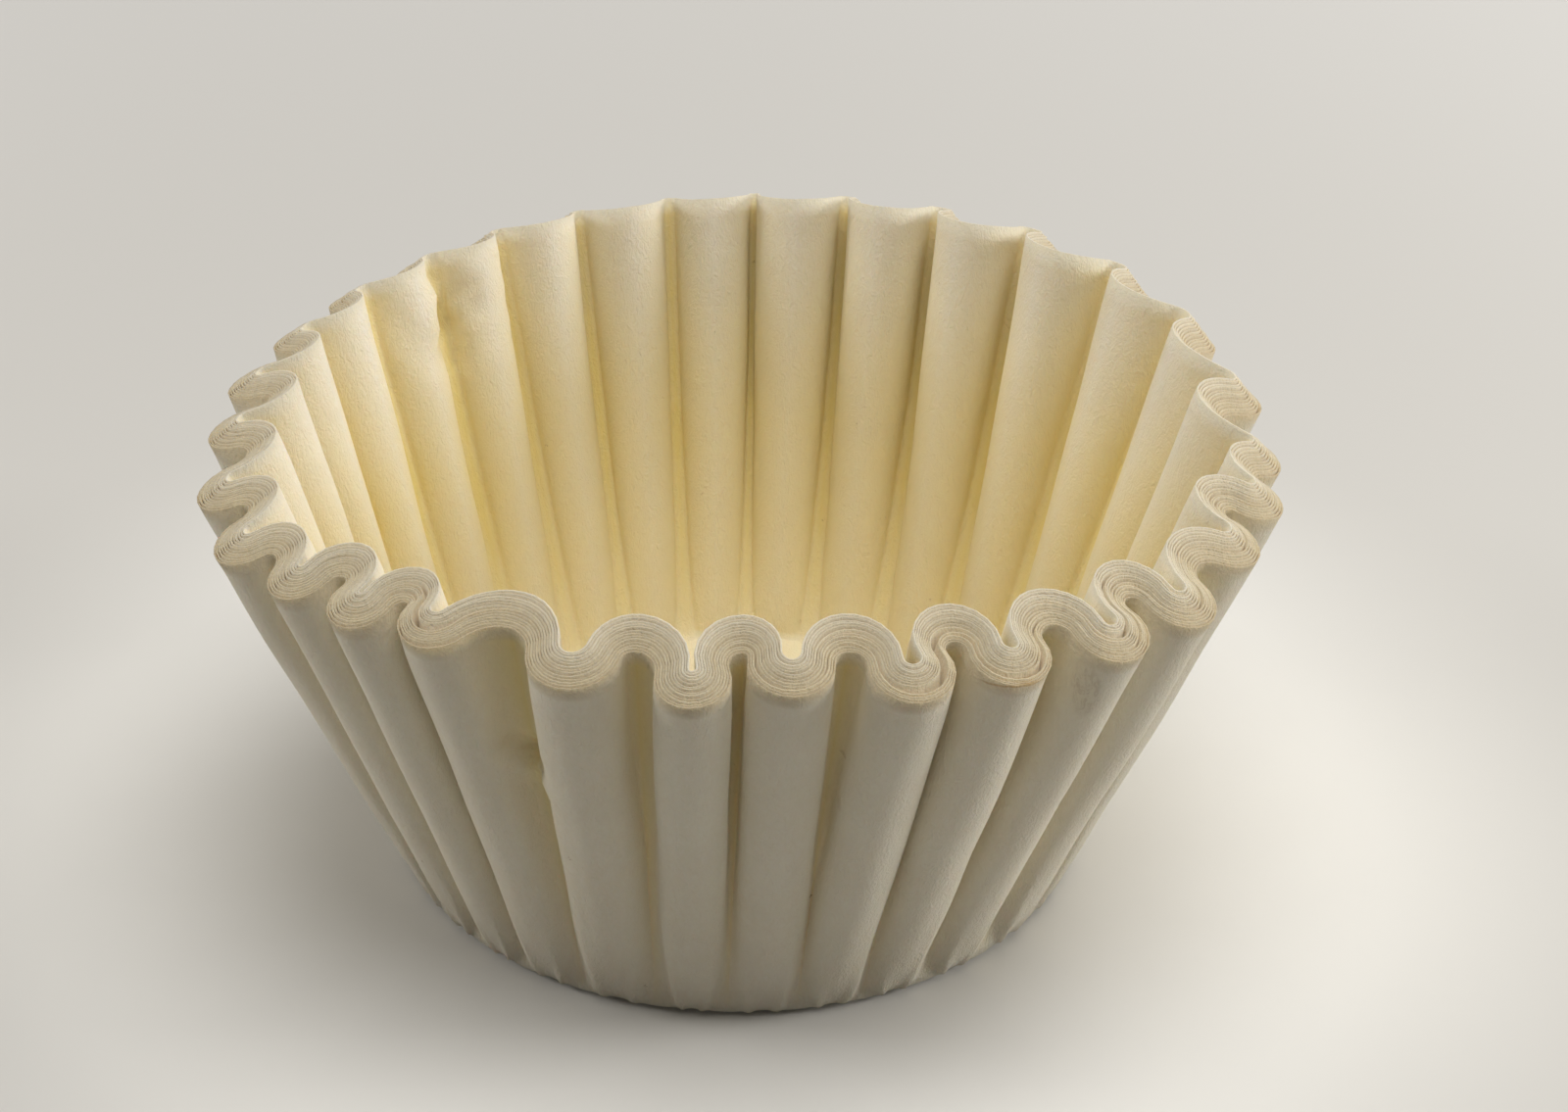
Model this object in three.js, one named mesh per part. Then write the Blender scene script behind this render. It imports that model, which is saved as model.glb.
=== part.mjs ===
// A nest of fluted basket coffee filters: paper discs pressed into one another, so that they stand as
// one thick cup with a flat floor, a pleated wall and a slanting rim where the cut edges show.
// Millimetres, +Z up. The origin is the middle of the footprint, on the surface that the nest stands on.
import * as THREE from "three";

// Footprint and floor
const baseRadius = 41.5; // outermost sheet, where the floor turns up into the wall
const footRadius = 38; // the flat part of the underside, which touches the table
const baseEdgeRise = 0.7; // how far the turned-up edge stands clear of the table
const floorThickness = 2.6; // all the sheets together, lying flat

// Wall and rim
const wallThickness = 3.5; // all the sheets together, measured level through the wall
const rimRadius = 57.9; // middle of the wall at the rim
const rimShift = 0.8; // the mouth sits this far to the right of the floor
const sheetLength = 58.1; // paper from the floor's edge to the cut edge, along the wall
const innerLift = 2.4; // how far the innermost sheet has slid up, at most
const innerLiftTowards = 50; // degrees, the side where it has slid up

// Flutes
const fluteDepth = 6.4; // from the bottom of a valley to the top of a lobe, at the rim
const footDepth = -0.25; // the same at the floor's edge, where the creases stand out a little instead
const fluteGrowth = 0.58; // the depth grows as this power of the way up the wall
const tightestBend = 0.25; // smallest radius that either face of the wall may have
const facetsPerBend = 3; // straight facets across each rounded bend
const facetRows = [0, 0.035, 0.13, 0.3, 0.52, 0.76, 1]; // shares of the wall, closer where it bends more

// One row for each flute, going round anticlockwise from the right-hand side.
// rimAt and footAt are the directions of the lobe at the rim and at the floor, in degrees.
// lobe is how wide the lobe is and reach how far it stands out past the plain depth, in millimetres.
// dip is how far the valley after it reaches towards the middle past the plain depth, in millimetres.
const flutes = [
  { rimAt: 5, footAt: 7, lobe: 6, reach: -2, dip: 0.6 },
  { rimAt: 22, footAt: 20, lobe: 6.6, reach: -1.6, dip: 0.4 },
  { rimAt: 37.5, footAt: 34, lobe: 6.4, reach: 0, dip: 1.2 },
  { rimAt: 52, footAt: 48, lobe: 6, reach: 0.8, dip: 1.6 },
  { rimAt: 65, footAt: 62, lobe: 5.6, reach: 1, dip: 1.4 },
  { rimAt: 77.5, footAt: 76, lobe: 5.2, reach: 0.8, dip: 0.4 },
  { rimAt: 89.5, footAt: 89, lobe: 4.4, reach: 0.8, dip: -1.4 },
  { rimAt: 100.5, footAt: 101, lobe: 5, reach: 0, dip: -1.2 },
  { rimAt: 112.5, footAt: 113, lobe: 5, reach: 0, dip: -1.2 },
  { rimAt: 124.5, footAt: 125, lobe: 5.4, reach: -1.2, dip: -0.2 },
  { rimAt: 136, footAt: 138, lobe: 5.8, reach: -2.4, dip: -0.6 },
  { rimAt: 148, footAt: 151, lobe: 6, reach: -2, dip: -0.4 },
  { rimAt: 160.5, footAt: 164, lobe: 6, reach: -1.8, dip: 0 },
  { rimAt: 172.5, footAt: 176, lobe: 5.8, reach: -0.6, dip: 0.4 },
  { rimAt: 184.5, footAt: 187, lobe: 5.6, reach: -0.4, dip: -1.4 },
  { rimAt: 197, footAt: 198, lobe: 5.4, reach: 1.4, dip: -3.2 },
  { rimAt: 208, footAt: 209, lobe: 5, reach: 2.4, dip: -4.2 },
  { rimAt: 218, footAt: 219, lobe: 4, reach: 1, dip: -1.4 },
  { rimAt: 227, footAt: 229, lobe: 3.6, reach: 0, dip: -0.6 },
  { rimAt: 236, footAt: 239, lobe: 5, reach: -1.4, dip: 0.6 },
  { rimAt: 252, footAt: 251, lobe: 6.4, reach: -1, dip: 0.6 },
  { rimAt: 264.5, footAt: 263, lobe: 4, reach: -0.4, dip: 1.4 },
  { rimAt: 274.5, footAt: 274, lobe: 5.4, reach: -2, dip: 1 },
  { rimAt: 286.5, footAt: 285, lobe: 5.2, reach: 0, dip: 0.4 },
  { rimAt: 297, footAt: 295.5, lobe: 5, reach: 0.4, dip: -0.8 },
  { rimAt: 308.5, footAt: 307, lobe: 5, reach: 1.6, dip: -1.4 },
  { rimAt: 318.5, footAt: 320, lobe: 5, reach: 2, dip: -2.8 },
  { rimAt: 331, footAt: 332, lobe: 5.4, reach: 0.4, dip: -1 },
  { rimAt: 341.5, footAt: 343, lobe: 5.2, reach: 0, dip: -2.8 },
  { rimAt: 350.5, footAt: 355, lobe: 5, reach: -1.2, dip: 1.2 },
];

const halfWall = wallThickness / 2;
const fullTurn = 2 * Math.PI;
const radians = THREE.MathUtils.degToRad;
const { lerp, clamp } = THREE.MathUtils;

// The tops of the lobes and the bottoms of the valleys, in order round the wall.
// up is the way up the wall: 0 at the floor's edge and 1 at the rim.
function turnsAt(up) {
  const middle = lerp(baseRadius - halfWall, rimRadius, up);
  const depth = lerp(footDepth, fluteDepth, Math.pow(up, fluteGrowth));
  const lobes = flutes.map((flute) => radians(lerp(flute.footAt, flute.rimAt, up)));
  return flutes.flatMap((flute, i) => {
    const next = lobes[i + 1] ?? lobes[0] + fullTurn;
    return [
      { direction: lobes[i], radius: middle + depth / 2 + flute.reach * up, lobe: flute.lobe },
      { direction: (lobes[i] + next) / 2, radius: middle - depth / 2 - flute.dip * up },
    ];
  });
}

// One flank of a flute, from one turn to the next: two arcs that meet at one slope, moved off the middle
// of the wall by an even distance. The flank is worked out unrolled, and then wrapped round the wall.
function flank(from, to, offset) {
  const rollRadius = (from.radius + to.radius) / 2;
  const width = rollRadius * (to.direction - from.direction);
  const sign = Math.sign(to.radius - from.radius) || 1;
  const depth = Math.max(Math.abs(to.radius - from.radius), 0.001);
  const bothBends = (width * width + depth * depth) / (2 * depth);
  const sweep = 2 * Math.atan2(depth, width);
  const least = Math.min((halfWall + tightestBend) / bothBends, 0.5);
  const lobeWidth = from.lobe ?? to.lobe;
  const lobeBend = bothBends * clamp(lobeWidth / 2 / width, least, 1 - least);
  const fromBend = from.lobe ? lobeBend : bothBends - lobeBend;
  const points = [];
  for (let i = 0; i < 2 * facetsPerBend; i++) {
    const first = i < facetsPerBend;
    const turned = (sweep * (first ? i : 2 * facetsPerBend - i)) / facetsPerBend;
    const bend = first ? fromBend : bothBends - fromBend;
    const along = bend * Math.sin(turned);
    const out = sign * bend * (1 - Math.cos(turned));
    const x = (first ? along : width - along) - sign * offset * Math.sin(turned);
    const y = (first ? from.radius + out : to.radius - out) + offset * Math.cos(turned);
    const direction = from.direction + x / rollRadius;
    points.push(new THREE.Vector2(y * Math.cos(direction), y * Math.sin(direction)));
  }
  return points;
}

// The plan of one face of the wall, part of the way up, before the mouth is shifted.
function plan(up, offset) {
  const turns = turnsAt(up);
  return turns.flatMap((turn, i) => {
    const next = turns[i + 1] ?? { ...turns[0], direction: turns[0].direction + fullTurn };
    return flank(turn, next, offset);
  });
}

// How high a sheet's cut edge stands over a point of its plan. The sheets are equally long, so an edge
// stands lower where its flute carries it further out.
function cutEdgeHeight(point, footHeight, innerFootRadius, slide) {
  const away = Math.cos(point.angle() - radians(innerLiftTowards));
  const length = sheetLength + slide * Math.pow((1 + away) / 2, 3);
  const out = point.length() - innerFootRadius;
  return footHeight + Math.sqrt(length * length - out * out);
}

// One face of the wall as rings of points, from the floor's edge to the cut edge.
function wallFace(offset, startHeight, edgeHeight) {
  const edges = plan(1, offset).map(edgeHeight);
  return facetRows.map((up) =>
    plan(up, offset).map((point, i) =>
      new THREE.Vector3(point.x + rimShift * up, point.y, lerp(startHeight, edges[i], up)),
    ),
  );
}

// Joins rings of points, each with as many points as the next, into one closed surface
// that starts and ends at a single point on the axis.
function closedSurface(rings, startHeight, endHeight) {
  const count = rings[0].length;
  const vertices = rings.flat();
  const start = vertices.push(new THREE.Vector3(0, 0, startHeight)) - 1;
  const end = vertices.push(new THREE.Vector3(0, 0, endHeight)) - 1;
  const lastRing = (rings.length - 1) * count;
  const faces = [];
  for (let i = 0; i < count; i++) {
    const j = (i + 1) % count;
    faces.push(start, j, i);
    for (let low = 0; low < lastRing; low += count) {
      const high = low + count;
      faces.push(low + i, low + j, high + j, low + i, high + j, high + i);
    }
    faces.push(lastRing + i, lastRing + j, end);
  }
  const geometry = new THREE.BufferGeometry().setFromPoints(vertices);
  geometry.setIndex(faces);
  geometry.computeVertexNormals();
  return geometry;
}

function filterNest() {
  const innerFootRadius = baseRadius - wallThickness;
  const outerFace = wallFace(halfWall, baseEdgeRise, (p) => cutEdgeHeight(p, 0, baseRadius, 0));
  const innerFace = wallFace(-halfWall, floorThickness, (p) =>
    cutEdgeHeight(p, floorThickness, innerFootRadius, innerLift),
  );
  const foot = outerFace[0].map((p) =>
    new THREE.Vector3(p.x, p.y, 0).setLength(footRadius),
  );
  const rings = [foot, ...outerFace, ...innerFace.reverse()];
  const paper = new THREE.MeshStandardMaterial({
    color: new THREE.Color(0.9, 0.86, 0.76),
    roughness: 0.95,
    metalness: 0,
  });
  const mesh = new THREE.Mesh(closedSurface(rings, 0, floorThickness), paper);
  mesh.name = "filter_nest";
  return mesh;
}

const part = new THREE.Group();
part.add(filterNest());

export default part;
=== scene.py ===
import math

import bpy
import numpy as np
from mathutils import Matrix, Vector, noise


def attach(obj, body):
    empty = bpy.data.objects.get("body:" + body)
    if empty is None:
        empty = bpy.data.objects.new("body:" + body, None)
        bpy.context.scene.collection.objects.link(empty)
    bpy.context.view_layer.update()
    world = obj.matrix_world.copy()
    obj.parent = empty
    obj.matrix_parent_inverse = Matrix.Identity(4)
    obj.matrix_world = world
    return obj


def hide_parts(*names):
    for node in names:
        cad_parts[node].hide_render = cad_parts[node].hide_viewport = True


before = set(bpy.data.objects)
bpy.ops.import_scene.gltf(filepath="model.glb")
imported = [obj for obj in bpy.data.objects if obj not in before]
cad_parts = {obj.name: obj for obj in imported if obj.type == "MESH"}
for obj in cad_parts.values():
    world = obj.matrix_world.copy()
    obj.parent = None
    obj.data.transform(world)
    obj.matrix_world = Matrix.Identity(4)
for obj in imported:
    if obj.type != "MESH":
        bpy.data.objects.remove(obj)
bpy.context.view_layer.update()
mm = 0.001

# The nest: fluted paper cups pressed into each other. Lengths in mm, directions in degrees from +X.
# An under row has its share of the way from the foot to the base edge, and its height. The floor shares
# are shares of the way from the middle of the floor to the wall.
nest = {
    "baseRadius": 41.5,
    "footRadius": 38,
    "baseEdgeRise": 0.7,
    "floorThickness": 2.6,
    "wallThickness": 3.5,
    "rimRadius": 57.9,
    "rimShift": 0.8,
    "sheetLength": 58.1,
    "innerLift": 2.4,
    "innerLiftTowards": 50,
    "innerLiftSharpness": 3,
    "fluteDepth": 6.4,
    "footDepth": -0.25,
    "fluteGrowth": 0.58,
    "tightestBend": 0.25,
    "facetsPerBend": 6,
    "outerRows": 32,
    "innerRows": 30,
    "rowCrowding": 1.15,
    "underRows": [(0, 0), (0.55, 0.21), (0.9, 0.5)],
    "floorShares": (0.985, 0.93, 0.84, 0.7, 0.52, 0.3, 0.1),
}
halfWall = nest["wallThickness"] / 2

# Each flute, going round: its direction at the rim and at the foot, how wide its lobe is,
# how far the lobe reaches out and how far the valley after it dips in.
flutes = [
    (5, 7, 6, -2, 0.6),
    (22, 20, 6.6, -1.6, 0.4),
    (37.5, 34, 6.4, 0, 1.2),
    (52, 48, 6, 0.8, 1.6),
    (65, 62, 5.6, 1, 1.4),
    (77.5, 76, 5.2, 0.8, 0.4),
    (89.5, 89, 4.4, 0.8, -1.4),
    (100.5, 101, 5, 0, -1.2),
    (112.5, 113, 5, 0, -1.2),
    (124.5, 125, 5.4, -1.2, -0.2),
    (136, 138, 5.8, -2.4, -0.6),
    (148, 151, 6, -2, -0.4),
    (160.5, 164, 6, -1.8, 0),
    (172.5, 176, 5.8, -0.6, 0.4),
    (184.5, 187, 5.6, -0.4, -1.4),
    (197, 198, 5.4, 1.4, -3.2),
    (208, 209, 5, 2.4, -4.2),
    (218, 219, 4, 1, -1.4),
    (227, 229, 3.6, 0, -0.6),
    (236, 239, 5, -1.4, 0.6),
    (252, 251, 6.4, -1, 0.6),
    (264.5, 263, 4, -0.4, 1.4),
    (274.5, 274, 5.4, -2, 1),
    (286.5, 285, 5.2, 0, 0.4),
    (297, 295.5, 5, 0.4, -0.8),
    (308.5, 307, 5, 1.6, -1.4),
    (318.5, 320, 5, 2, -2.8),
    (331, 332, 5.4, 0.4, -1),
    (341.5, 343, 5.2, 0, -2.8),
    (350.5, 355, 5, -1.2, 1.2),
]

# The cut edges: thin sheets with a groove between each two, a little uneven, and here and there fanned out.
# A fan has its direction, the sheet it opens after, how wide it opens and over how many degrees.
# A seed is given for the first sheet, with the step to the next. The three tone steps scatter the
# sheets' tones through two sines.
edges = {
    "sheets": 13,
    "unevenness": 0.15,
    "unevennessLength": 7,
    "unevennessSeed": (5, 1.9),
    "fineShare": 0.5,
    "fineScale": 0.45,
    "fineSeed": (3, 2.3),
    "groove": 0.05,
    "grooveDepth": 0.26,
    "gapDepth": 3,
    "mostGap": 0.55,
    "fanning": 0.55,
    "fanningFrom": 0.3,
    "fanningLength": 9,
    "fanningSeed": (11, 3.7),
    "fans": [(288, 3, 0.8, 5), (236, 6, 0.7, 5), (308.5, 8, 0.5, 4), (297, 2, 0.5, 3)],
    "lean": 0.26,
    # the sheet and groove tones are painted shade on the cut edges, the grooves darkest; the spread and
    # steps give each sheet its own tone
    "sheetShadeAndTone": 0.8,
    "toneSpread": 0.16,
    "toneSteps": (2.4, 1.1, 1.7),
    "toneFall": 0.5,
    "grooveShade": 1.1,
}

# What handling did to the paper: a soft waver everywhere, creases along the lobes, pleats where the floor
# meets the wall, and a few local folds. From, until and full are shares of the way up, or across the floor.
# A fold has its place, the radius round it, its height, the direction across it and its ridges' spacing.
handling = {
    "waver": 0.22,
    "waverAcross": 5,
    "waverAlong": 26,
    "waverFull": 0.08,
    "waverUntil": 0.95,
    "crease": 0.42,
    "creaseAt": 0.3,
    "creaseWidth": 0.1,
    "creaseFall": 0.45,
    "creaseUntil": 0.9,
    "floorWaver": 0.35,
    "floorWaverLength": 14,
    "floorWaverSharpness": 6,
    "floorCrease": 0.5,
    "floorCreaseFrom": 0.68,
    "floorCreaseFull": 0.93,
    "seeds": {"outer": 1, "inner": 2, "floor": 4},
    "foldFalloff": 1.6,
    "foldWobble": 0.6,
    "foldWobbleScale": 0.25,
    "foldCrest": 1.6,
    "folds": {
        "outer": [((-22.4, -45.5, 37.9), 4.5, -2.2, (0.25, 0.1, 0.95), 3.2)],
        "inner": [
            ((-37.8, 39.2, 55), 6, -0.9, (0.4, 0.3, 0.85), 2.1),
            ((-39.3, 33.5, 50), 7, -1, (0.7, -0.2, 0.6), 2.8),
            ((-36, 38, 50), 6, 0.8, (-0.3, 0.5, 0.8), 2.3),
        ],
    },
}

# How far the paper turns to its warm colour: on the walls, as the paper's own tint, on the cut edges from
# the outermost sheet to the innermost, and as painted warm bounce light in the outer valleys, down inside,
# and in the slots behind the lobes.
warm = {
    "wall": 0.12,
    "valley": 0.78,
    "valleySharpness": 2,
    "outerCut": 0.42,
    "innerCut": 0.12,
    "inside": 0.4,
    "insideReach": 0.45,
    "slot": 0.85,
    "slotSharpness": 0.9,
    "growth": 0.5,
}


def mixed(low, high, share):
    return low + (high - low) * share


def eased(low, high, value):
    # 0 at low, 1 at high, with soft ends
    share = np.clip((value - low) / (high - low), 0, 1)
    return share * share * (3 - 2 * share)


def waver(points, scale, seed):
    # soft noise at these points
    shift = Vector((seed, 2 * seed, 3 * seed))
    return np.array([noise.noise(Vector(point * scale) + shift) for point in points])


def turnsAt(up):
    # lobe, valley, lobe, valley and so on round the cup: direction, radius, and a lobe's width
    middle = mixed(nest["baseRadius"] - halfWall, nest["rimRadius"], up)
    depth = mixed(nest["footDepth"], nest["fluteDepth"], up ** nest["fluteGrowth"])
    directions = [mixed(flute[1], flute[0], up) for flute in flutes]
    turns = []
    for index, (_, _, width, reach, dip) in enumerate(flutes):
        here = directions[index]
        after = directions[(index + 1) % len(flutes)] + (360 if index == len(flutes) - 1 else 0)
        turns.append((here, middle + depth / 2 + reach * up, width))
        turns.append(((here + after) / 2, middle - depth / 2 - dip * up, 0))
    return turns


def flank(start, end, offset):
    # one side of a flute: two round bends that meet at one slope
    rollRadius = (start[1] + end[1]) / 2
    width = rollRadius * math.radians(end[0] - start[0])
    rise = end[1] - start[1]
    side = 1 if rise >= 0 else -1
    depth = max(abs(rise), 0.001)
    bothBends = (width * width + depth * depth) / (2 * depth)
    sweep = 2 * math.atan2(depth, width)
    least = min((halfWall + nest["tightestBend"]) / bothBends, 0.5)
    lobeWidth = start[2] or end[2]
    lobeBend = bothBends * min(max(lobeWidth / 2 / width, least), 1 - least)
    startBend = lobeBend if start[2] else bothBends - lobeBend
    perBend = nest["facetsPerBend"]
    step = np.arange(2 * perBend)
    first = step < perBend
    turned = sweep * np.where(first, step, 2 * perBend - step) / perBend
    bend = np.where(first, startBend, bothBends - startBend)
    along = bend * np.sin(turned)
    out = side * bend * (1 - np.cos(turned))
    x = np.where(first, along, width - along) - side * offset * np.sin(turned)
    y = np.where(first, start[1] + out, end[1] - out) + offset * np.cos(turned)
    direction = math.radians(start[0]) + x / rollRadius
    return np.stack([y * np.cos(direction), y * np.sin(direction)], axis=1)


perFlank = 2 * nest["facetsPerBend"]
ringCount = 2 * len(flutes) * perFlank

# for each point of a ring, 0 on a lobe and 1 in a valley
outOfLobe = np.arange(perFlank)
towardsValley = np.tile(np.concatenate([outOfLobe, perFlank - outOfLobe]), len(flutes)) / perFlank


def plan(up, offset):
    # the whole cup seen from above at one share of its height, offset from the middle of its wall
    turns = turnsAt(up)
    offsets = np.broadcast_to(offset, ringCount).reshape(-1, perFlank)
    sides = []
    for index, start in enumerate(turns):
        end = turns[(index + 1) % len(turns)]
        if index == len(turns) - 1:
            end = (end[0] + 360, end[1], end[2])
        sides.append(flank(start, end, offsets[index]))
    return np.concatenate(sides)


def cutEdgeHeight(ring, through):
    # every sheet is as long as the next, so a lobe that leans out further ends lower
    angle = np.arctan2(ring[:, 1], ring[:, 0]) - math.radians(nest["innerLiftTowards"])
    slide = nest["innerLift"] * through * ((1 + np.cos(angle)) / 2) ** nest["innerLiftSharpness"]
    length = nest["sheetLength"] + slide
    run = np.hypot(ring[:, 0], ring[:, 1]) - (nest["baseRadius"] - nest["wallThickness"] * through)
    return nest["floorThickness"] * through + np.sqrt(length * length - run * run)


def wallWaver(points, seed):
    across = 1 / handling["waverAcross"]
    scale = np.array([across, across, 1 / handling["waverAlong"]])
    return handling["waver"] * waver(points, scale, seed)


def folds(points, foldList):
    total = np.zeros(len(points))
    for place, radius, height, across, spacing in foldList:
        away = points - np.array(place)
        near = np.exp(-((away / radius) ** 2).sum(axis=1) * handling["foldFalloff"])
        wobble = handling["foldWobble"] * waver(points, handling["foldWobbleScale"], radius)
        line = away @ (np.array(across) / np.linalg.norm(across)) + wobble
        crest = 1 - np.abs(((line / spacing + 0.5) % 2) - 1) * handling["foldCrest"]
        total += height * near * crest
    return total


def lobeCreases(up):
    # both long edges of every lobe stand out a little, most at the foot
    away = (towardsValley - handling["creaseAt"]) / handling["creaseWidth"]
    crease = handling["crease"] * np.exp(-(away**2))
    return crease * (1 - handling["creaseFall"] * up) * (1 - eased(handling["creaseUntil"], 1, up))


def wallRows(side, face, edgeHeights, rows, startHeight):
    # rings from the foot up to just under the cut edge, on the outer (1) or the inner (-1) face
    rings = []
    for row in range(rows):
        up = (row / rows) ** nest["rowCrowding"]
        flat = plan(up, side * halfWall)
        heights = mixed(startHeight, edgeHeights, up)
        points = np.column_stack([flat, heights])
        fade = eased(0, handling["waverFull"], up) * (1 - eased(handling["waverUntil"], 1, up))
        uneven = wallWaver(points, handling["seeds"][face]) + folds(points, handling["folds"][face])
        ring = plan(up, side * halfWall + (uneven * fade + lobeCreases(up)))
        rings.append(np.column_stack([ring[:, 0] + nest["rimShift"] * up, ring[:, 1], heights]))
    return rings


def sheetSeed(name, sheet):
    first, step = edges[name]
    return first + step * sheet


def sheetGaps(middle, onRim):
    # how far each sheet's edge stands off the next, round the rim
    direction = np.degrees(np.arctan2(middle[:, 1], middle[:, 0])) % 360
    gaps = []
    for sheet in range(edges["sheets"] - 1):
        opening = waver(onRim, 1 / edges["fanningLength"], sheetSeed("fanningSeed", sheet))
        gap = edges["groove"] + edges["fanning"] * np.clip(opening - edges["fanningFrom"], 0, 1)
        for where, after, width, spread in edges["fans"]:
            if after == sheet:
                gap = gap + width * np.exp(-(((direction - where + 180) % 360 - 180) / spread) ** 2)
        gaps.append(gap)
    crowding = np.minimum(1, edges["mostGap"] * nest["wallThickness"] / sum(gaps))
    return [gap * crowding for gap in gaps]


def edgeRow(offset, heights, edgeHeights):
    ring = plan(1, offset)
    lean = 1 + edges["lean"] * (heights - edgeHeights) / nest["rimRadius"]
    return np.column_stack([ring[:, 0] * lean + nest["rimShift"], ring[:, 1] * lean, heights])


def cutEdgeRows():
    # across the rim from outside to inside: over each sheet's edge, then down into the groove after it
    count = edges["sheets"]
    middle = plan(1, 0)
    onRim = np.column_stack([middle, np.zeros(ringCount)])
    gaps = sheetGaps(middle, onRim)
    thickness = (nest["wallThickness"] - sum(gaps)) / count
    rows = []
    outside = np.full(ringCount, halfWall)
    heightsBefore = None
    for sheet in range(count):
        uneven = waver(onRim, 1 / edges["unevennessLength"], sheetSeed("unevennessSeed", sheet))
        fine = waver(onRim, edges["fineScale"], sheetSeed("fineSeed", sheet))
        uneven = edges["unevenness"] * (uneven + edges["fineShare"] * fine)
        centre = plan(1, outside - thickness / 2)
        heights = cutEdgeHeight(centre, (sheet + 0.5) / count) + uneven
        if heightsBefore is not None:
            gap = gaps[sheet - 1]
            bottom = np.minimum(heightsBefore, heights) - edges["grooveDepth"] - edges["gapDepth"] * gap
            rows.append(edgeRow(outside + gap / 2, bottom, heights))
        rows.append(edgeRow(outside, heights, heights))
        rows.append(edgeRow(outside - thickness, heights, heights))
        heightsBefore = heights
        if sheet < count - 1:
            outside = outside - thickness - gaps[sheet]
    return rows


def cutEdgeShadeAndTones():
    # painted shade on each row of the rim: the grooves most, the outer sheets more than the inner, and each
    # sheet a little its own way
    step, sway, swayStep = edges["toneSteps"]
    tones = []
    for sheet in range(edges["sheets"]):
        scatter = math.sin(step * sheet + sway * math.sin(swayStep * sheet))
        own = edges["sheetShadeAndTone"] * (1 + edges["toneSpread"] * scatter)
        own = own * (1 - edges["toneFall"] * sheet / edges["sheets"])
        tones += [own, own] if sheet == 0 else [edges["grooveShade"], own, own]
    return tones


def underRows(foot):
    # rings of the underside, from the foot it stands on out to the base edge
    footShare = nest["footRadius"] / np.hypot(foot[:, 0], foot[:, 1])
    rows = []
    for share, height in nest["underRows"]:
        ring = foot * mixed(footShare, 1, share)[:, None]
        rows.append(np.column_stack([ring, np.full(ringCount, height)]))
    return rows


def floorRows(wallFoot):
    # rings of the floor, from the foot of the inner wall to the middle
    rows = []
    for share in nest["floorShares"]:
        row = wallFoot * share
        flat = np.column_stack([row, np.zeros(ringCount)])
        soft = waver(flat, 1 / handling["floorWaverLength"], handling["seeds"]["floor"])
        lift = handling["floorWaver"] * soft * (1 - share ** handling["floorWaverSharpness"])
        full = eased(handling["floorCreaseFrom"], handling["floorCreaseFull"], share)
        pleats = handling["floorCrease"] * (towardsValley - 0.5) * full
        rows.append(np.column_stack([row, nest["floorThickness"] + lift + pleats]))
    return rows


def closedFaces(rows):
    # the faces between rings, then the fans to the bottom and the top point, which come after all rings
    faces = []
    for row in range(rows - 1):
        low = row * ringCount
        high = low + ringCount
        for index in range(ringCount):
            after = (index + 1) % ringCount
            faces.append((low + index, low + after, high + after, high + index))
    last = (rows - 1) * ringCount
    bottomPoint = rows * ringCount
    topPoint = bottomPoint + 1
    for index in range(ringCount):
        after = (index + 1) % ringCount
        faces.append((bottomPoint, after, index))
        faces.append((topPoint, last + index, last + after))
    return faces


def buildNest():
    rim = cutEdgeRows()
    outer = wallRows(1, "outer", rim[0][:, 2], nest["outerRows"], nest["baseEdgeRise"])
    inner = wallRows(-1, "inner", rim[-1][:, 2], nest["innerRows"], nest["floorThickness"])
    under = underRows(outer[0][:, :2])
    floor = floorRows(inner[0][:, :2])
    rings = under + outer + rim + inner[::-1] + floor
    ends = [[0, 0, 0], [0, 0, floor[-1][:, 2].mean()]]

    upOuter = [row / len(outer) for row in range(len(outer))]
    upInner = [row / len(inner) for row in reversed(range(len(inner)))]
    acrossRim = [row / len(rim) for row in range(len(rim))]
    plain = np.ones(ringCount)
    # painted warm bounce light: warmer in the outer valleys, in the slots and down inside; the wall amount
    # is the paper's own tint
    valley = warm["valley"] * towardsValley ** warm["valleySharpness"]
    slot = warm["slot"] * (1 - towardsValley) ** warm["slotSharpness"]
    inside = [warm["inside"] * eased(0, warm["insideReach"], 1 - up) for up in upInner]
    warmthAndBounce = [plain * warm["wall"]] * len(under)
    warmthAndBounce += [warm["wall"] + valley * up ** warm["growth"] for up in upOuter]
    warmthAndBounce += [plain * mixed(warm["outerCut"], warm["innerCut"], share) for share in acrossRim]
    warmthAndBounce += [low + slot * up ** warm["growth"] for low, up in zip(inside, upInner)]
    warmthAndBounce += [plain * warm["inside"]] * len(floor) + [[warm["wall"], warm["inside"]]]

    # painted shade on the cut edges: darkest in the grooves, the whole band darker towards its outer sheets
    cutShadeAndTone = [0 * plain] * (len(under) + len(outer)) + [plain * tone for tone in cutEdgeShadeAndTones()]
    cutShadeAndTone += [0 * plain] * (len(inner) + len(floor)) + [[0, 0]]

    points = np.concatenate(rings + [ends]) * mm
    mesh = bpy.data.meshes.new("paperNest")
    mesh.from_pydata(points.tolist(), [], closedFaces(len(rings)))
    for name, values in (("warmthAndBounce", warmthAndBounce), ("cutShadeAndTone", cutShadeAndTone)):
        stored = mesh.attributes.new(name, "FLOAT", "POINT")
        stored.data.foreach_set("value", np.concatenate(values).astype(np.float32))
    mesh.polygons.foreach_set("use_smooth", [True] * len(mesh.polygons))
    mesh.update()
    piece = bpy.data.objects.new("paperNest", mesh)
    bpy.context.scene.collection.objects.link(piece)
    print("paper nest:", len(mesh.polygons), "faces")
    return piece


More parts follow.
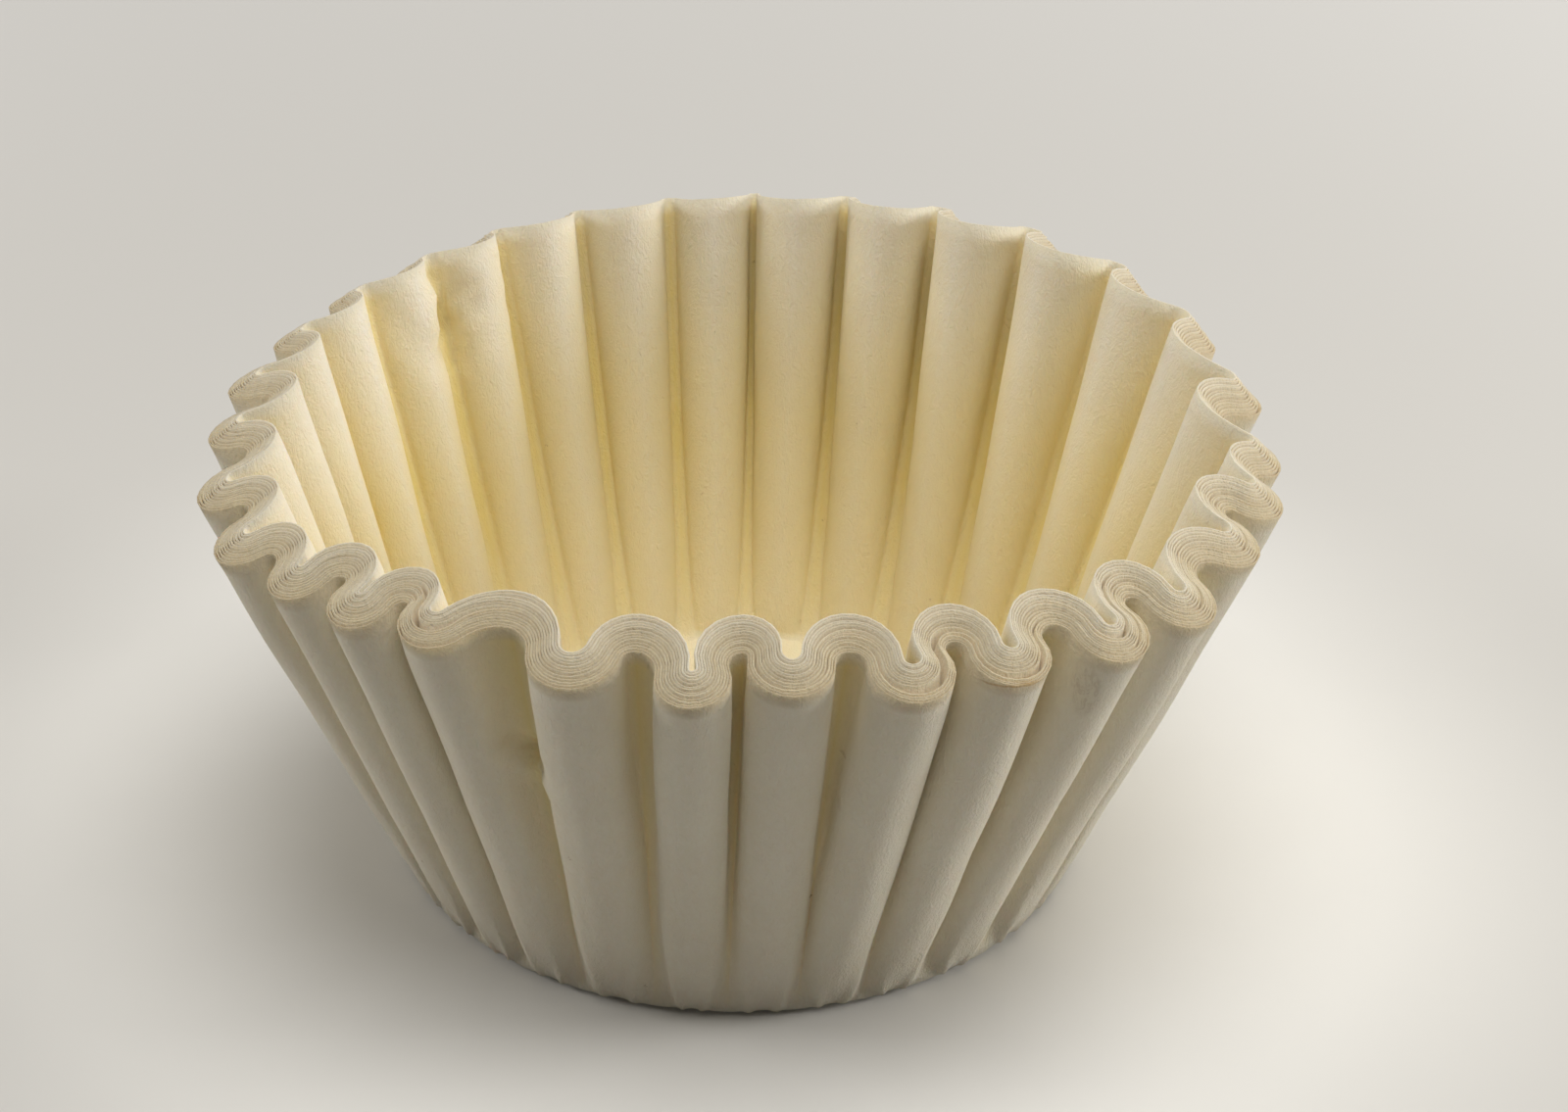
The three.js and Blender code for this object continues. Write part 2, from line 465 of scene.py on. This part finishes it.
class Wire:
    # a shader socket that can be used in sums
    def __init__(self, tree, socket=None):
        self.tree = tree
        self.socket = socket

    def add(self, kind, settings=None, inputs=None, output=0):
        node = self.tree.nodes.new(kind)
        for name, value in (settings or {}).items():
            setattr(node, name, value)
        for place, value in (inputs or {}).items():
            if isinstance(value, Wire):
                self.tree.links.new(value.socket, node.inputs[place])
            else:
                node.inputs[place].default_value = value
        return Wire(self.tree, node.outputs[output])

    def number(self, operation, *values):
        return self.add("ShaderNodeMath", {"operation": operation}, dict(enumerate(values)))

    def __add__(self, other):
        return self.number("ADD", self, other)

    def __sub__(self, other):
        return self.number("SUBTRACT", self, other)

    def __mul__(self, other):
        return self.number("MULTIPLY", self, other)

    def between(self, low, high):
        # 0 at low, 1 at high, with soft ends
        return self.add(
            "ShaderNodeMapRange",
            {"interpolation_type": "SMOOTHSTEP"},
            {"Value": self, "From Min": low, "From Max": high},
        )

    def tint(self, low, high):
        # the colour low where this is 0 and high where it is 1
        return self.add("ShaderNodeMix", {"data_type": "RGBA"}, {0: self, 6: low, 7: high}, 2)

    def vector(self, operation, *values, output=0):
        # all the inputs come from the values, so this wire is given among them
        return self.add("ShaderNodeVectorMath", {"operation": operation}, dict(enumerate(values)), output)

    def cloud(self, size, detail=3, distortion=0.0):
        # noise at this place, with lumps about that many mm across
        inputs = {"Vector": self, "Scale": 1 / size, "Detail": detail, "Distortion": distortion}
        return self.add("ShaderNodeTexNoise", None, inputs)


# The paper's finish: colours as they are in plain light, though the warm and cut colours also carry painted
# bounce light and painted shade; lumps in mm, reach and bump height in m.
# A band is where a pattern begins and where it is full. Patches are a pattern's weight and what is added.
paper = {
    "cream": (0.86, 0.80, 0.675, 1),
    "pale": (0.90, 0.86, 0.76, 1),
    # the warm colour is also used as painted warm bounce light in the recesses
    "warm": (0.83, 0.68, 0.28, 1),
    # the cut colour is painted shade on the cut edges and in their grooves, with each sheet's own tone
    "cut": (0.45, 0.355, 0.235, 1),
    "stain": (0.42, 0.28, 0.13, 1),
    "cloudSize": 9,
    "cloudBand": (0.35, 0.7),
    "fibreSize": 0.55,
    "fibreDetail": 5,
    "fibreDistortion": 1.4,
    "fibreBand": (0.3, 0.75),
    "grainSize": 0.26,
    "grainDetail": 2,
    "stretch": (1, 1, 0.35),
    "paleShare": 0.5,
    "warmPatches": (0.5, 0.75),
    "cutPatches": (0.6, 0.7),
    "speckScale": 0.13,
    "speckBand": (0.045, 0.025),
    "speckGrainBand": (0.45, 0.6),
    "speckStrength": 0.5,
    "markBand": (1.15, 0.55),
    "markFibreBand": (0.42, 0.6),
    "bump": 0.8,
    "bumpHeight": 0.0003,
    "fibreHeight": 0.7,
    "grainHeight": 0.3,
    "roughness": 0.86,
    "roughnessSpread": 0.12,
    "specular": 0.2,
    "subsurface": 0.2,
    "subsurfaceReach": (1.0, 0.62, 0.3),
    "subsurfaceScale": 0.0022,
}

# Marks on the paper: place and half size in mm, how strong, and how broken up.
marks = [
    ((27.8, -55.9, 53.9), (4.2, 1.6, 0.22), 0.75, 0.2),
    ((36.1, -49.8, 49.4), (1.8, 2.0, 4.6), 0.3, 0.8),
    ((7.9, -45.2, 19.5), (0.3, 0.5, 0.22), 0.9, 0),
    ((11.0, -51.7, 42.3), (0.9, 1.0, 0.35), 0.3, 0.4),
    ((10.8, -51.2, 36.0), (0.5, 1.0, 1.2), 0.25, 0.4),
]


def patchy(amount, pattern, weights):
    weight, rest = weights
    return amount * (pattern * weight + rest)


def stained(colour, place, fibres, grain):
    # small specks all over, then the marks one by one
    specks = place.add("ShaderNodeTexVoronoi", None, {"Vector": place, "Scale": paper["speckScale"]})
    chosen = specks.between(*paper["speckBand"]) * grain.between(*paper["speckGrainBand"])
    colour = (chosen * paper["speckStrength"]).tint(colour, paper["stain"])
    for where, size, strength, broken in marks:
        away = place.vector("SUBTRACT", place, where)
        away = away.vector("DIVIDE", away, size)
        near = away.vector("LENGTH", away, output=1)
        mask = near.between(*paper["markBand"]) * strength
        if broken:
            mask = patchy(mask, fibres.between(*paper["markFibreBand"]), (broken, 1 - broken))
        colour = mask.tint(colour, paper["stain"])
    return colour


def makePaper():
    material = bpy.data.materials.new("filterPaper")
    material.use_nodes = True
    tree = material.node_tree
    shader = tree.nodes["Principled BSDF"]
    start = Wire(tree)
    place = start.add("ShaderNodeTexCoord", None, None, "Object")
    place = place.vector("MULTIPLY", place, (1 / mm, 1 / mm, 1 / mm))
    drawn = place.vector("MULTIPLY", place, paper["stretch"])
    clouds = place.cloud(paper["cloudSize"])
    fibres = drawn.cloud(paper["fibreSize"], paper["fibreDetail"], paper["fibreDistortion"])
    grain = place.cloud(paper["grainSize"], paper["grainDetail"])
    warmthAndBounce = start.add("ShaderNodeAttribute", {"attribute_name": "warmthAndBounce"}, None, "Fac")
    cutShadeAndTone = start.add("ShaderNodeAttribute", {"attribute_name": "cutShadeAndTone"}, None, "Fac")

    soft = clouds.between(*paper["cloudBand"]) * paper["paleShare"]
    fine = fibres.between(*paper["fibreBand"]) * paper["paleShare"]
    colour = (soft + fine).tint(paper["cream"], paper["pale"])
    # the warm colour: the paper's own tint, and painted warm bounce light in the valleys, the slots and
    # down inside
    colour = patchy(warmthAndBounce, clouds, paper["warmPatches"]).tint(colour, paper["warm"])
    # painted shade on the cut edges, darkest in the grooves, with each sheet's own tone
    colour = patchy(cutShadeAndTone, fibres, paper["cutPatches"]).tint(colour, paper["cut"])
    colour = stained(colour, place, fibres, grain)
    height = fibres * paper["fibreHeight"] + grain * paper["grainHeight"]
    bump = start.add(
        "ShaderNodeBump",
        None,
        {"Strength": paper["bump"], "Distance": paper["bumpHeight"], "Height": height},
    )
    rough = fibres * paper["roughnessSpread"] + paper["roughness"] - paper["roughnessSpread"] / 2
    tree.links.new(colour.socket, shader.inputs["Base Color"])
    tree.links.new(rough.socket, shader.inputs["Roughness"])
    tree.links.new(bump.socket, shader.inputs["Normal"])
    shader.inputs["Specular IOR Level"].default_value = paper["specular"]
    shader.inputs["Subsurface Weight"].default_value = paper["subsurface"]
    shader.inputs["Subsurface Radius"].default_value = paper["subsurfaceReach"]
    shader.inputs["Subsurface Scale"].default_value = paper["subsurfaceScale"]
    return material


# The studio: a pale floor under a big soft lamp, with smaller lamps behind, to the right and to the left.
# Lengths are in m. A band is where a tint begins and where it is full, measured from the nest's middle.
# A lamp has its name, place, width, power in W and colour, and looks at the foot of the nest.
# The far and near floor tints are painted light: the floor lighter far from the cup, and lighter round the
# cup over the cup's shadow.
studio = {
    "floorSize": 3,
    "floorColour": (0.62, 0.605, 0.575, 1),
    "floorPaintedLightFar": (0.78, 0.77, 0.75, 1),
    "paintedLightFarBand": (0.15, 0.5),
    "floorPaintedLightNear": (0.86, 0.85, 0.82, 1),
    "paintedLightNearBand": (0.13, 0.05),
    "floorBounce": (0.42, 0.41, 0.39, 1),
    "floorRoughness": 0.9,
    "floorSpecular": 0.1,
    "background": (0.80, 0.79, 0.77, 1),
    "ambient": (1.0, 0.97, 0.92, 1),
    "ambientLevel": 0.085,
    "lamps": [
        ("topLamp", (0.07, -0.08, 1.0), 0.75, 6.9, (1, 0.985, 0.955)),
        ("backLamp", (0.42, 0.42, 0.62), 0.4, 1.2, (1, 0.985, 0.955)),
        ("rightLamp", (0.74, 0.02, 0.26), 0.3, 2.6, (1, 0.985, 0.96)),
        ("leftLamp", (-0.7, 0.08, 0.3), 0.3, 1.5, (1, 0.98, 0.95)),
    ],
}


def seenDirectly(start):
    # 1 for what the camera sees, straight or through something or in a reflection, and 0 for other light
    rays = []
    for name in ("Is Camera Ray", "Is Glossy Ray", "Is Transmission Ray"):
        rays.append(start.add("ShaderNodeLightPath", None, None, name))
    seen = start.number("MAXIMUM", rays[0], rays[1])
    return start.number("MAXIMUM", seen, rays[2])


def makeFloor():
    half = studio["floorSize"] / 2
    corners = [(-half, -half, 0), (half, -half, 0), (half, half, 0), (-half, half, 0)]
    mesh = bpy.data.meshes.new("floor")
    mesh.from_pydata(corners, [], [(0, 1, 2, 3)])
    floor = bpy.data.objects.new("floor", mesh)
    bpy.context.scene.collection.objects.link(floor)
    material = bpy.data.materials.new("paleFloor")
    material.use_nodes = True
    tree = material.node_tree
    shader = tree.nodes["Principled BSDF"]
    place = Wire(tree).add("ShaderNodeTexCoord", None, None, "Object")
    away = place.vector("LENGTH", place, output=1)
    # painted light on the floor: lighter far out, and lighter round the cup over the cup's shadow
    colour = away.between(*studio["paintedLightFarBand"]).tint(studio["floorColour"], studio["floorPaintedLightFar"])
    colour = away.between(*studio["paintedLightNearBand"]).tint(colour, studio["floorPaintedLightNear"])
    colour = seenDirectly(place).tint(studio["floorBounce"], colour)
    tree.links.new(colour.socket, shader.inputs["Base Color"])
    shader.inputs["Roughness"].default_value = studio["floorRoughness"]
    shader.inputs["Specular IOR Level"].default_value = studio["floorSpecular"]
    mesh.materials.append(material)


def lightStudio():
    for name, place, size, power, colour in studio["lamps"]:
        lamp = bpy.data.lights.new(name, "AREA")
        lamp.shape = "DISK"
        lamp.size = size
        lamp.energy = power
        lamp.color = colour
        holder = bpy.data.objects.new(name, lamp)
        holder.location = place
        holder.rotation_euler = (-Vector(place)).to_track_quat("-Z", "Y").to_euler()
        bpy.context.scene.collection.objects.link(holder)
    world = bpy.data.worlds.new("studio")
    world.use_nodes = True
    tree = world.node_tree
    start = Wire(tree)
    seen = seenDirectly(start)
    ambient = {"Color": studio["ambient"], "Strength": studio["ambientLevel"]}
    dim = start.add("ShaderNodeBackground", None, ambient)
    bright = start.add("ShaderNodeBackground", None, {"Color": studio["background"], "Strength": 1.0})
    mix = start.add("ShaderNodeMixShader", None, {0: seen, 1: dim, 2: bright})
    tree.links.new(mix.socket, tree.nodes["World Output"].inputs["Surface"])
    bpy.context.scene.world = world
    bpy.context.scene.view_settings.view_transform = "Standard"


# The camera: lens and sensor in mm, place in m, and its angles in degrees, with yaw to the right of +Y.
view = {
    "lens": 72,
    "sensor": 36,
    "place": (0, -0.32631, 0.22144),
    "pitch": 29.507,
    "yaw": 0.906,
    "roll": 0.946,
}


def placeCamera():
    lens = bpy.data.cameras.new("camera")
    lens.lens = view["lens"]
    lens.sensor_width = view["sensor"]
    camera = bpy.data.objects.new("camera", lens)
    turn = Matrix.Rotation(-math.radians(view["yaw"]), 4, "Z")
    turn = turn @ Matrix.Rotation(math.radians(90 - view["pitch"]), 4, "X")
    turn = turn @ Matrix.Rotation(math.radians(view["roll"]), 4, "Z")
    camera.matrix_world = Matrix.Translation(view["place"]) @ turn
    bpy.context.scene.collection.objects.link(camera)
    bpy.context.scene.camera = camera


paperNest = buildNest()
paperNest.data.materials.append(makePaper())
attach(paperNest, "root")
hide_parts("filter_nest")
print("paper laid on")

makeFloor()
lightStudio()
placeCamera()
print("studio set")
